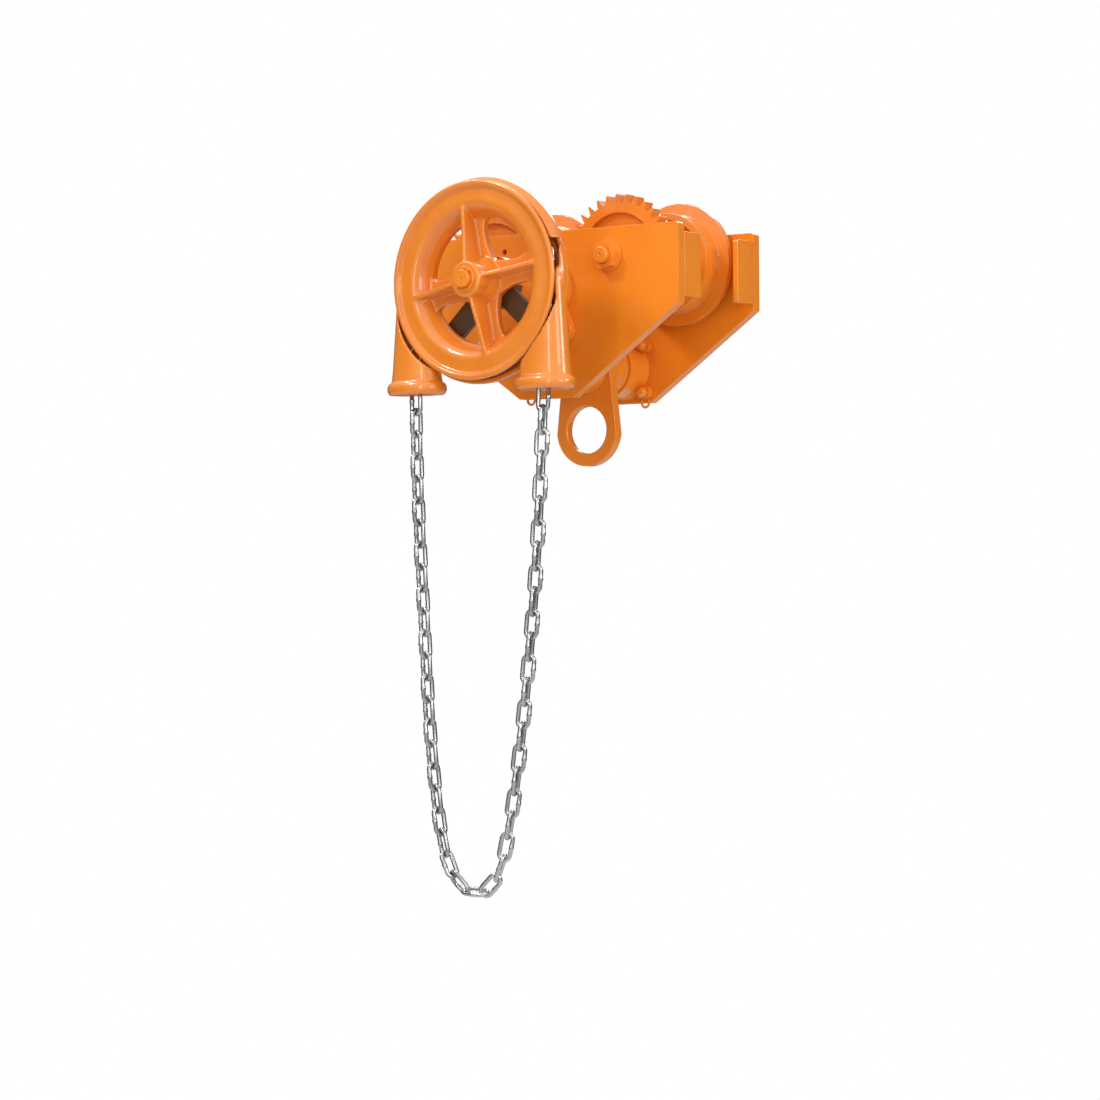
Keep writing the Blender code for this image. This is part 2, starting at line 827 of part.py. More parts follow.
def chain_route():
    """The centre line of the hanging chain, from the left spout down, round and up."""
    z = DRIVE_Z
    points = [
        (-PITCH_R, z - 2.0),
        (-88.5, z - 60.0),
        (-89.0, z - 118.0),
        (-87.0, z - 230.0),
        (-80.0, z - 365.0),
        (-72.0, z - 495.0),
        (-60.5, z - 590.0),
        (-49.0, z - 636.0),
        (-31.5, z - 661.5),
        (-9.0, z - 670.0),
        (10.0, z - 661.0),
        (23.5, z - 640.0),
        (33.0, z - 606.0),
        (44.5, z - 548.0),
        (59.0, z - 448.0),
        (72.5, z - 325.0),
        (80.0, z - 220.0),
        (85.5, z - 118.0),
        (87.6, z - 60.0),
        (wheel_run(0.0), z - 2.0),
    ]
    return [(x, CHAIN_Y, h) for x, h in points]


def hand_chain(mat):
    add("hand_chain", tube(chain_route(), CHAIN_R, 10), mat)


def chain_on_wheel(mat):
    pts = []
    for k in range(33):
        degrees = 0.3 + 179.4 * k / 32
        r = wheel_run(degrees)
        a = math.radians(degrees)
        pts.append((r * math.cos(a), CHAIN_Y, DRIVE_Z + r * math.sin(a)))
    add("hand_chain_on_wheel", tube(pts, CHAIN_R, 10), mat)


def main():
    clear_scene()
    enamel = paint("orange_enamel", (0.86, 0.21, 0.025), 0.0, 0.32)
    cast = paint("orange_cast_enamel", (0.80, 0.18, 0.022), 0.0, 0.42)
    shade = paint("dark_brown_enamel", (0.10, 0.055, 0.03), 0.0, 0.5)
    zinc = paint("bright_zinc", (0.62, 0.63, 0.60), 1.0, 0.25)

    for name, side in (("side_plate_near", -1), ("side_plate_far", 1)):
        side_plate(name, side, enamel)
    for where, side in (("near", -1), ("far", 1)):
        for end, sx in (("left", -1), ("right", 1)):
            bumper(f"bumper_{where}_{end}", sx, side, enamel)
            axle(f"axle_{where}_{end}", sx, side, enamel)
            axle_nut(f"axle_nut_{where}_{end}", sx, side, enamel)
    for end, sx in (("left", -1), ("right", 1)):
        geared_wheel(f"geared_wheel_near_{end}", sx, cast)
        plain_wheel(f"flanged_wheel_far_{end}", sx, cast)

    load_bar(enamel)
    for where, side in (("near", -1), ("far", 1)):
        bar_nut(f"load_bar_nut_{where}", side, enamel)
        bar_collar(f"load_bar_collar_{where}", side, cast)
        for k, a in enumerate(COLLAR_BOLTS):
            collar_bolt(f"collar_bolt_{where}_{k + 1}", a, side, cast)
        keeper_loop(f"keeper_loop_{where}", side, enamel)
        for k in range(WASHERS):
            inner = EYE_T / 2 + 0.6 + k * (WASHER_T + GAP)
            y0, y1 = sorted((side * inner, side * (inner + WASHER_T)))
            adjusting_washer(f"adjusting_washer_{where}_{k + 1}", y0, y1, enamel)
    suspension_eye(enamel)

    drive_shaft(enamel)
    drive_pinion(cast)
    shaft_housing(cast)
    face = -(PLATE_IN + PLATE_T + GAP) - 9.0 - GAP
    for k, a in enumerate(HOUSING_BOLTS):
        u = 57.0 * math.cos(a)
        v = DRIVE_Z + 57.0 * math.sin(a)
        hex_bolt(f"housing_bolt_{k + 1}", u, v, face, -1, 9.5, 10.0, 5.0, 21.8, enamel, 13.0)
    hand_wheel(cast)
    wheel_washer(enamel)
    wheel_pin(enamel)
    chain_guide(cast)
    guide_bracket(shade)
    for end, a in (("right", ARM_TURNS[0]), ("left", ARM_TURNS[1])):
        u = 90.0 * math.cos(a)
        v = DRIVE_Z + 90.0 * math.sin(a)
        hex_bolt(f"guide_bolt_{end}", u, v, GUIDE_BACK + 2 * GAP + 7.0, 1, 8.0, 6.0, 4.0, 11.0, enamel)
    hand_chain(zinc)
    chain_on_wheel(zinc)


main()
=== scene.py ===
"""Looks of the hand-chain geared beam trolley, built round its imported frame."""

import json
import math

import bmesh
import bpy
from mathutils import Matrix, Vector

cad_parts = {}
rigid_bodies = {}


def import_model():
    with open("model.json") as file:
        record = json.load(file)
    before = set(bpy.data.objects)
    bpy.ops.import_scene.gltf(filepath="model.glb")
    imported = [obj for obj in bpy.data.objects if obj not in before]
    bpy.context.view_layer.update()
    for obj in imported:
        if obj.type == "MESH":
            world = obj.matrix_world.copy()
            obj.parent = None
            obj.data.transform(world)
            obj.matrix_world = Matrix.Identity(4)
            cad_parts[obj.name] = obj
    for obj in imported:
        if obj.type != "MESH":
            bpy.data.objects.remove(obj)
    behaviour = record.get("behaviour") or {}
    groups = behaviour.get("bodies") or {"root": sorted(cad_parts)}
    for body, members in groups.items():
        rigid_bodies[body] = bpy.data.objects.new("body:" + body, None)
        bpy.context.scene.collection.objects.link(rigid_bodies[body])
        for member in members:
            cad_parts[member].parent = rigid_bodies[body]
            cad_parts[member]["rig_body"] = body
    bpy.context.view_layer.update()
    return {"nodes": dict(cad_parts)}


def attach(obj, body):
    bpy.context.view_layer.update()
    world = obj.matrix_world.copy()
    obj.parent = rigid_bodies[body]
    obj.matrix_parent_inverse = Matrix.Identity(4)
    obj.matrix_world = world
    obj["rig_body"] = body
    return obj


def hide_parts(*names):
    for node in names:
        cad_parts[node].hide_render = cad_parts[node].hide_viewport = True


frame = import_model()

MM = 0.001
SCENE = bpy.context.scene

# places shared with the frame, in millimetres
DRIVE_Z = 25.67
CHAIN_Y = -207.0
PITCH_R = 87.5

TINY = 1e-9


# ---------------------------------------------------------------- camera

CAMERA_AT = Vector((2.0251, -2.8969, -0.2882))
CAMERA_TURN = math.radians(35.7)
CAMERA_TILT = math.radians(0.33)
CAMERA_ROLL = math.radians(-0.41)
LENS_MM = 101.03
SENSOR_MM = 36.0
CLIP_END = 100.0


def make_camera():
    data = bpy.data.cameras.new("camera")
    data.lens = LENS_MM
    data.sensor_width = SENSOR_MM
    data.clip_end = CLIP_END
    cam = bpy.data.objects.new("camera", data)
    SCENE.collection.objects.link(cam)
    c, s = math.cos(CAMERA_TURN), math.sin(CAMERA_TURN)
    ct, st = math.cos(CAMERA_TILT), math.sin(CAMERA_TILT)
    ahead = Vector((-s * ct, c * ct, st))
    right = Vector((c, s, 0.0))
    up = right.cross(ahead)
    cr, sr = math.cos(CAMERA_ROLL), math.sin(CAMERA_ROLL)
    right, up = right * cr + up * sr, up * cr - right * sr
    turn = Matrix((right, up, -ahead)).transposed().to_4x4()
    cam.matrix_world = Matrix.Translation(CAMERA_AT) @ turn
    SCENE.camera = cam


make_camera()


# ---------------------------------------------------------------- materials

COAT_ROUGHNESS = 0.09
CLOUD_SPAN = (0.35, 0.65)
GLOSS_SPAN = (0.3, 0.7)
GLOSS_SCALE = 5.0


def node(tree, kind, **values):
    """A new shader node, its inputs or else its settings given by name."""
    made = tree.nodes.new(kind)
    for key, value in values.items():
        if key in made.inputs:
            made.inputs[key].default_value = value
        else:
            setattr(made, key, value)
    return made


def noise(tree, where, scale, detail=4.0, rough=0.55):
    """The value of a noise texture read at `where`."""
    made = node(tree, "ShaderNodeTexNoise", Scale=scale, Detail=detail, Roughness=rough)
    tree.links.new(where, made.inputs["Vector"])
    return made.outputs["Fac"]


def spread(tree, value, low, high, out_low, out_high):
    """The value carried from one range to another, and held at its ends."""
    made = node(tree, "ShaderNodeMapRange")
    made.inputs["From Min"].default_value = low
    made.inputs["From Max"].default_value = high
    made.inputs["To Min"].default_value = out_low
    made.inputs["To Max"].default_value = out_high
    tree.links.new(value, made.inputs["Value"])
    return made.outputs["Result"]


def blend_colour(tree, value, first, second):
    """The colour part of the way from the first to the second."""
    ramp = node(tree, "ShaderNodeValToRGB")
    ramp.color_ramp.elements[0].color = (*first, 1.0)
    ramp.color_ramp.elements[1].color = (*second, 1.0)
    tree.links.new(value, ramp.inputs["Fac"])
    return ramp.outputs["Color"]


def material(name, colours, rough, bumps, metallic=0.0, coat=0.0, mottle=9.0):
    """A finish whose colour and gloss wander a little.

    `bumps` are pairs of a noise scale and a height in metres.
    """
    mat = bpy.data.materials.new(name)
    mat.use_nodes = True
    tree = mat.node_tree
    shader = tree.nodes["Principled BSDF"]
    shader.inputs["Metallic"].default_value = metallic
    shader.inputs["Coat Weight"].default_value = coat
    shader.inputs["Coat Roughness"].default_value = COAT_ROUGHNESS
    where = node(tree, "ShaderNodeTexCoord").outputs["Object"]
    cloud = spread(tree, noise(tree, where, mottle), *CLOUD_SPAN, 0.0, 1.0)
    tree.links.new(blend_colour(tree, cloud, *colours), shader.inputs["Base Color"])
    fine = noise(tree, where, mottle * GLOSS_SCALE, 6.0)
    gloss = spread(tree, fine, *GLOSS_SPAN, *rough)
    tree.links.new(gloss, shader.inputs["Roughness"])
    before = None
    for scale, height in bumps:
        bump = node(tree, "ShaderNodeBump")
        bump.inputs["Strength"].default_value = 1.0
        bump.inputs["Distance"].default_value = height
        tree.links.new(noise(tree, where, scale, 3.0, 0.5), bump.inputs["Height"])
        if before:
            tree.links.new(before, bump.inputs["Normal"])
        before = bump.outputs["Normal"]
    if before:
        tree.links.new(before, shader.inputs["Normal"])
    return mat


ENAMEL = material(
    "orange_enamel",
    ((0.84, 0.232, 0.010), (0.90, 0.262, 0.014)),
    (0.26, 0.40),
    [(38.0, 0.0003), (420.0, 0.00003)],
    coat=0.4,
)
CAST = material(
    "orange_cast_enamel",
    ((0.80, 0.215, 0.009), (0.88, 0.255, 0.013)),
    (0.26, 0.42),
    [(60.0, 0.0006), (300.0, 0.00014)],
    coat=1.0,
    mottle=14.0,
)
# painted shade: a dark brown laid on the guide bracket's straps for the shadow they lie
# in behind the hand wheel; the straps themselves are orange
PAINTED_SHADE_BROWN = material(
    "dark_brown_enamel",
    ((0.085, 0.048, 0.018), (0.130, 0.075, 0.028)),
    (0.42, 0.60),
    [(120.0, 0.0004)],
    mottle=20.0,
)
ZINC = material(
    "bright_zinc",
    ((0.42, 0.435, 0.43), (0.62, 0.635, 0.63)),
    (0.17, 0.24),
    [(60.0, 0.00004)],
    metallic=1.0,
    mottle=11.0,
)


# ---------------------------------------------------------------- mesh helpers

NEARLY_STRAIGHT = 3.1
EDGE_ANGLE = math.radians(34.0)
SAME_PLACE = 2e-6
SAME_PLANE = math.radians(1.0)


def closed(bm):
    """The built mesh with its faces turned outwards."""
    bmesh.ops.recalc_face_normals(bm, faces=bm.faces)
    mesh = bpy.data.meshes.new("m")
    bm.to_mesh(mesh)
    bm.free()
    return mesh


def lathe(profile, steps=96, centre=(0.0, 0.0, 0.0), axis="Y"):
    """Turns a closed profile of (radius, along) about an axis through `centre`."""
    bm = bmesh.new()
    poles = {}
    rings = []
    for k in range(steps):
        a = 2 * math.pi * k / steps
        row = []
        for i, (r, h) in enumerate(profile):
            if i in poles:
                row.append(poles[i])
                continue
            u, v = r * math.cos(a), r * math.sin(a)
            co = {"Y": (u, h, v), "Z": (u, v, h), "X": (h, u, v)}[axis]
            row.append(bm.verts.new(Vector(co) + Vector(centre)))
            if r < TINY:
                poles[i] = row[-1]
        rings.append(row)
    n = len(profile)
    for k in range(steps):
        one, two = rings[k], rings[(k + 1) % steps]
        for i in range(n):
            j = (i + 1) % n
            corners = [one[i], one[j], two[j], two[i]]
            if i in poles:
                corners.remove(two[i])
            if j in poles:
                corners.remove(two[j])
            if len(corners) > 2:
                bm.faces.new(corners)
    return closed(bm)


def prism(outline, low, high, axis="Y"):
    """An outline carried straight along an axis from `low` to `high`."""
    bm = bmesh.new()
    at = {
        "Y": lambda u, v, h: (u, h, v),
        "Z": lambda u, v, h: (u, v, h),
        "X": lambda u, v, h: (h, u, v),
    }[axis]
    one = [bm.verts.new(at(u, v, low)) for u, v in outline]
    two = [bm.verts.new(at(u, v, high)) for u, v in outline]
    n = len(outline)
    bm.faces.new(one)
    bm.faces.new(two)
    for i in range(n):
        j = (i + 1) % n
        bm.faces.new((one[i], one[j], two[j], two[i]))
    return closed(bm)


def rod(r, low, high, u, v, steps=64, axis="Y"):
    """A round bar along an axis through (u, v)."""
    centre = {"Y": (u, 0, v), "Z": (u, v, 0), "X": (0, u, v)}[axis]
    return lathe([(0, low), (r, low), (r, high), (0, high)], steps, centre, axis)


def rounded(corners, radii, steps=6):
    """An outline with each corner rounded off by its own radius."""
    out = []
    n = len(corners)
    for i in range(n):
        p = Vector(corners[i])
        a = (Vector(corners[i - 1]) - p).normalized()
        b = (Vector(corners[(i + 1) % n]) - p).normalized()
        r = radii[i] if isinstance(radii, (list, tuple)) else radii
        if r <= 0 or a.angle(b) > NEARLY_STRAIGHT:
            out.append(tuple(p))
            continue
        half = a.angle(b) / 2
        reach = r / math.tan(half)
        centre = p + (a + b).normalized() * (r / math.sin(half))
        first = p + a * reach - centre
        last = p + b * reach - centre
        for k in range(steps + 1):
            out.append(tuple(centre + first.lerp(last, k / steps).normalized() * r))
    return out


def combine(base, others, how):
    """The base mesh joined with or cut by each of the others in turn."""
    obj = bpy.data.objects.new("work", base)
    SCENE.collection.objects.link(obj)
    for other in others:
        tool = bpy.data.objects.new("tool", other)
        SCENE.collection.objects.link(tool)
        mod = obj.modifiers.new("b", "BOOLEAN")
        mod.operation = how
        mod.solver = "EXACT"
        mod.object = tool
        obj.data = applied(obj)
        obj.modifiers.clear()
        bpy.data.objects.remove(tool, do_unlink=True)
    mesh = obj.data
    bpy.data.objects.remove(obj, do_unlink=True)
    return mesh


def join(base, *others):
    return combine(base, others, "UNION")


def cut(base, *others):
    return combine(base, others, "DIFFERENCE")


def applied(obj):
    """The object's mesh with its modifiers worked in."""
    bpy.context.view_layer.update()
    graph = bpy.context.evaluated_depsgraph_get()
    return bpy.data.meshes.new_from_object(obj.evaluated_get(graph))


def cast_skin(mesh, voxel, passes):
    """The mesh with the soft edges and fillets of a thickly painted casting."""
    obj = bpy.data.objects.new("work", mesh)
    SCENE.collection.objects.link(obj)
    fine = obj.modifiers.new("v", "REMESH")
    fine.mode = "VOXEL"
    fine.voxel_size = voxel
    fine.use_smooth_shade = True
    soft = obj.modifiers.new("s", "SMOOTH")
    soft.factor = 0.5
    soft.iterations = passes
    made = applied(obj)
    bpy.data.objects.remove(obj, do_unlink=True)
    return made


def place(name, mesh, mat, body, slot, *stands_for, bevel=0.0, scale=MM):
    """Puts a finished mesh in the scene as a piece on its body."""
    if scale != 1.0:
        mesh.transform(Matrix.Scale(scale, 4))
    mesh.materials.clear()
    mesh.materials.append(mat)
    obj = bpy.data.objects.new(name, mesh)
    SCENE.collection.objects.link(obj)
    mesh.shade_smooth()
    if bevel:
        mod = obj.modifiers.new("edge", "BEVEL")
        mod.width = bevel * MM
        mod.segments = 2
        mod.limit_method = "ANGLE"
        mod.angle_limit = EDGE_ANGLE
        flat = obj.modifiers.new("flat", "WEIGHTED_NORMAL")
        flat.weight = 100
        flat.keep_sharp = True
        obj.data = applied(obj)
        obj.modifiers.clear()
    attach(obj, body)
    if stands_for:
        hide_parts(*stands_for)
    return obj


def refined(name, mat, slot, bevel, split=None):
    """A frame node's own shape with broken edges and smooth round faces.

    Where `split` is given, its faces are also parted at that height.
    """
    source = frame["nodes"][name]
    bm = bmesh.new()
    bm.from_mesh(source.data)
    bmesh.ops.remove_doubles(bm, verts=bm.verts, dist=SAME_PLACE)
    bmesh.ops.dissolve_limit(
        bm, angle_limit=SAME_PLANE, verts=bm.verts, edges=bm.edges
    )
    if split is not None:
        whole = bm.verts[:] + bm.edges[:] + bm.faces[:]
        bmesh.ops.bisect_plane(
            bm, geom=whole, plane_co=(0, 0, split * MM), plane_no=(0, 0, 1)
        )
    mesh = bpy.data.meshes.new(name)
    bm.to_mesh(mesh)
    bm.free()
    finish = name + "_finish"
    body = source["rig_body"]
    return place(finish, mesh, mat, body, slot, name, bevel=bevel, scale=1.0)


# ---------------------------------------------------------------- chain

WIRE = 5.0
LINK_WIDTH = 17.4
LINK_PLAY = 0.2
# along the link's welded side: place as a share of its half length, and thickness
WELD = ((0.3, 1.0), (0.22, 1.13), (0.0, 1.17), (-0.22, 1.13), (-0.3, 1.0))
LINKS = 68
# how many links along the chain its first joint sits
START = 1.68
PITCH_RANGE = (22.0, 27.0)
# (x, height from the drive's axis) from one side of the wheel down to the other
ROUTE = [
    (-87.5, -2.0), (-88.5, -60.0), (-89.0, -118.0), (-87.0, -230.0),
    (-80.0, -365.0), (-72.0, -495.0), (-60.5, -590.0), (-49.0, -636.0),
    (-31.5, -661.5), (-9.0, -670.0), (10.0, -661.0), (23.5, -640.0),
    (33.0, -606.0), (44.5, -548.0), (59.0, -448.0), (72.5, -325.0),
    (80.0, -220.0), (85.5, -118.0), (87.6, -60.0), (91.46, -2.0),
]
ROUTE_STEPS = 40
WHEEL_STEPS = 400
# the chain stands off the wheel most at this turn, in degrees, where it comes on
STAND_OFF = 9.4
STAND_OFF_AT = 15.0
STAND_OFF_SPREAD = 17.0
# links whose middles are lower than this belong to the hanging piece
HANGING_TOP = DRIVE_Z - 7.0
# the strands twist below this height: (from, over, degrees) further down
TWIST_TOP = DRIVE_Z - 110.0
TWISTS = ((0.0, 60.0, 14.0), (420.0, 120.0, 8.0))


def flowing(points, fine):
    """A smooth curve through the points."""
    out = []
    n = len(points)
    for i in range(n - 1):
        p0, p1 = points[max(i - 1, 0)], points[i]
        p2, p3 = points[i + 1], points[min(i + 2, n - 1)]
        for k in range(fine):
            t = k / fine
            a = (p1 - p0) if i else (p2 - p1)
            m1 = (p2 - p0) * 0.5 if i else (p2 - p1)
            m2 = (p3 - p1) * 0.5 if i + 2 < n else (p2 - p1)
            h1 = 2 * t**3 - 3 * t**2 + 1
            h2 = t**3 - 2 * t**2 + t
            h3 = -2 * t**3 + 3 * t**2
            h4 = t**3 - t**2
            out.append(p1 * h1 + m1 * h2 + p2 * h3 + m2 * h4)
    out.append(points[-1])
    return out


def loop_line():
    """The chain's centre line: down on the left, up on the right, over the wheel."""
    hang = flowing([Vector((x, CHAIN_Y, DRIVE_Z + z)) for x, z in ROUTE], ROUTE_STEPS)
    over = []
    for k in range(1, WHEEL_STEPS):
        away = (180.0 * k / WHEEL_STEPS - STAND_OFF_AT) / STAND_OFF_SPREAD
        r = PITCH_R + STAND_OFF * math.exp(-(away ** 2))
        a = math.pi * k / WHEEL_STEPS
        over.append(Vector((r * math.cos(a), CHAIN_Y, DRIVE_Z + r * math.sin(a))))
    return hang + over


def joints_at(line, step, count):
    """Points one chord apart along the closed line.

    The second result is how far past the start the last of them falls.
    """
    n = len(line)
    out = [line[0]]
    here, i = line[0], 0
    while len(out) <= count:
        after = line[(i + 1) % n]
        if (after - here).length < TINY or (after - out[-1]).length < step:
            here = after
            i += 1
            continue
        low, high = 0.0, 1.0
        for _ in range(30):
            mid = (low + high) / 2
            if (here.lerp(after, mid) - out[-1]).length < step:
                low = mid
            else:
                high = mid
        here = here.lerp(after, high)
        out.append(here)
    span = max((line[(i + 1) % n] - line[i % n]).length, TINY)
    done = i - n + (here - line[i % n]).length / span
    return out, done


def chain_joints():
    """Where the links meet, with the pitch that closes the chain on itself."""
    line = loop_line()
    skip = int(START * len(line) / LINKS)
    line = line[skip:] + line[:skip]
    low, high = PITCH_RANGE
    for _ in range(40):
        step = (low + high) / 2
        if joints_at(line, step, LINKS)[1] > 0:
            high = step
        else:
            low = step
    return joints_at(line, low, LINKS)[0][:LINKS], low


def wire_link(bm, first, last, across, pitch):
    """One welded link whose inner ends sit on two joints, opening along `across`."""
    along = (last - first).normalized()
    across = (across - along * across.dot(along)).normalized()
    out = along.cross(across)
    centre = (first + last) / 2
    end = (LINK_WIDTH - WIRE) / 2
    half = (pitch + LINK_PLAY + WIRE) / 2 - end
    path = []
    for k in range(9):
        a = math.pi * k / 8
        path.append((half + end * math.sin(a), end * math.cos(a), 1.0))
    for t, swell in WELD:
        path.append((half * t, -end, swell))
    for k in range(9):
        a = math.pi + math.pi * k / 8
        path.append((-half + end * math.sin(a), end * math.cos(a), 1.0))
    n = len(path)
    rings = []
    for i, (u, v, swell) in enumerate(path):
        before, after = path[i - 1], path[(i + 1) % n]
        way = Vector((after[0] - before[0], after[1] - before[1])).normalized()
        side = along * way.y - across * way.x
        ring = []
        for k in range(10):
            a = 2 * math.pi * k / 10
            d = side * math.cos(a) + out * math.sin(a)
            middle = centre + along * u + across * v
            ring.append(bm.verts.new(middle + d * (WIRE / 2 * swell)))
        rings.append(ring)
    for i in range(n):
        one, two = rings[i], rings[(i + 1) % n]
        for k in range(10):
            m = (k + 1) % 10
            bm.faces.new((one[k], one[m], two[m], two[k]))


def build_chain():
    """The links, every other one turned a quarter, as a hanging and a riding piece."""
    joints, pitch = chain_joints()
    hanging, riding = bmesh.new(), bmesh.new()
    y_way = Vector((0, 1, 0))
    for k in range(LINKS):
        first, last = joints[k], joints[(k + 1) % LINKS]
        along = (last - first).normalized()
        across = along.cross(y_way) if k % 2 else y_way
        middle = (first + last) / 2
        below = TWIST_TOP - middle.z
        turn = 0.0
        for start, over, degrees in TWISTS:
            share = min(max((below - start) / over, 0.0), 1.0)
            turn += math.radians(degrees) * share
        across = Matrix.Rotation(turn, 3, along) @ across
        strand = hanging if middle.z < HANGING_TOP else riding
        wire_link(strand, first, last, across, pitch)
    low = place(
        "hanging_chain", closed(hanging), ZINC, "trolley_frame", "zinc", "hand_chain"
    )
    place(
        "wheel_chain", closed(riding), ZINC, "trolley_frame", "zinc",
        "hand_chain_on_wheel",
    )


build_chain()


# ---------------------------------------------------------------- hand wheel

WHEEL_FRONT = -221.0
SPOKE_TURN = math.radians(10.5)
SPOKES = 4
GROOVE_R = 9.3
DRIVE = (0.0, 0.0, DRIVE_Z)
SHAFT_R = 10.2
WEB_FRONT = -203.5
WEB_BACK = -195.0
RIB_FRONT = -231.0
RIB_HALF = 1.9
RIB_TAPER = 0.06
CAST_VOXEL = 1.2


def spoke_web(a):
    """The flat rear web of one spoke, flared into the hub and the rim."""
    half = [
        (12, 22.5), (20, 19.5), (28, 16.8), (38, 14.6),
        (48, 13.8), (57, 14.4), (64, 17.0), (70, 22.0),
    ]
    pts = [(r, -w) for r, w in half] + [(r, w) for r, w in reversed(half)]
    c, s = math.cos(a), math.sin(a)
    outline = [(r * c - w * s, DRIVE_Z + r * s + w * c) for r, w in pts]
    return prism(outline, WEB_FRONT, WEB_BACK)


def spoke_rib(a):
    """The deep front rib of one spoke, running out over the dish of the rim."""
    side = [
        (10, -196.5), (70, -196.5), (70.5, -206.0), (75, -211.5), (80, -216.0),
        (83.5, -218.2), (83.0, -219.2), (50, -224.0), (24, -230.0), (10, RIB_FRONT),
    ]
    bm = bmesh.new()
    c, s = math.cos(a), math.sin(a)
    rows = []
    for sign in (-1, 1):
        row = []
        for r, y in side:
            n = sign * (RIB_HALF + RIB_TAPER * (y - RIB_FRONT))
            row.append(bm.verts.new((r * c - n * s, y, DRIVE_Z + r * s + n * c)))
        rows.append(row)
        bm.faces.new(row)
    for i in range(len(side)):
        j = (i + 1) % len(side)
        bm.faces.new((rows[0][i], rows[0][j], rows[1][j], rows[1][i]))
    return closed(bm)


def build_hand_wheel():
    """The dished rim with its chain groove, the hub and the spokes, cast as one."""
    f = WHEEL_FRONT
    front = rounded(
        [
            (68.0, f + 28.0), (68.3, f + 19.0), (72.0, f + 13.0), (77.0, f + 6.8),
            (82.0, f + 3.0), (86.0, f + 1.9), (94.0, f + 2.9), (101.0, f + 3.4),
            (103.2, f - 0.7), (107.8, f - 0.8), (109.6, f + 2.2), (107.6, f + 4.7),
        ],
        [1.2, 6, 8, 8, 10, 8, 10, 1.4, 2.2, 2.2, 1.2, 0.8],
        5,
    )
    groove = []
    for k in range(25):
        a = math.pi * k / 24
        r = PITCH_R - GROOVE_R * math.sin(a)
        groove.append((r, CHAIN_Y - GROOVE_R * math.cos(a)))
    back = [(101.0, f + 23.6), (101.0, f + 28.0)]
    rim = lathe(front + groove + back, 200, DRIVE)
    hub_line = [
        (0, -190.0), (26.0, -190.0), (26.0, -205.0), (20.0, -216.0),
        (20.0, -232.5), (18.5, -234.0), (0, -234.0),
    ]
    hub = lathe(rounded(hub_line, [0, 1, 6, 6, 0.8, 0.8, 0], 5), 96, DRIVE)
    parts = [hub]
    for k in range(SPOKES):
        a = SPOKE_TURN + k * 2 * math.pi / SPOKES
        parts += [spoke_web(a), spoke_rib(a)]
    mesh = cut(join(rim, *parts), rod(SHAFT_R, -260, -150, 0, DRIVE_Z))
    mesh = cast_skin(mesh, CAST_VOXEL, 4)
    place("hand_wheel_casting", mesh, CAST, "drive", "orange_cast", "hand_wheel")


build_hand_wheel()


# ---------------------------------------------------------------- chain guide

GUIDE_BACK = -181.0
ARM_TURNS = [math.radians(a) for a in (-43.0, -137.0)]
LIP_Z = DRIVE_Z - 115.0
RING_R = 80.3
GUIDE_BOLT_R = 4.3
GUIDE_BOLTS_AT = 90.0


def oval(profile, sx, flat):
    """A turned shape on a chain strand's upright line, narrowed across the beam."""
    mesh = lathe(profile, 96, (0, 0, 0), "Z")
    mesh.transform(Matrix.Scale(flat, 4, (0, 1, 0)))
    mesh.transform(Matrix.Translation((sx * PITCH_R, CHAIN_Y, 0)))
    return mesh


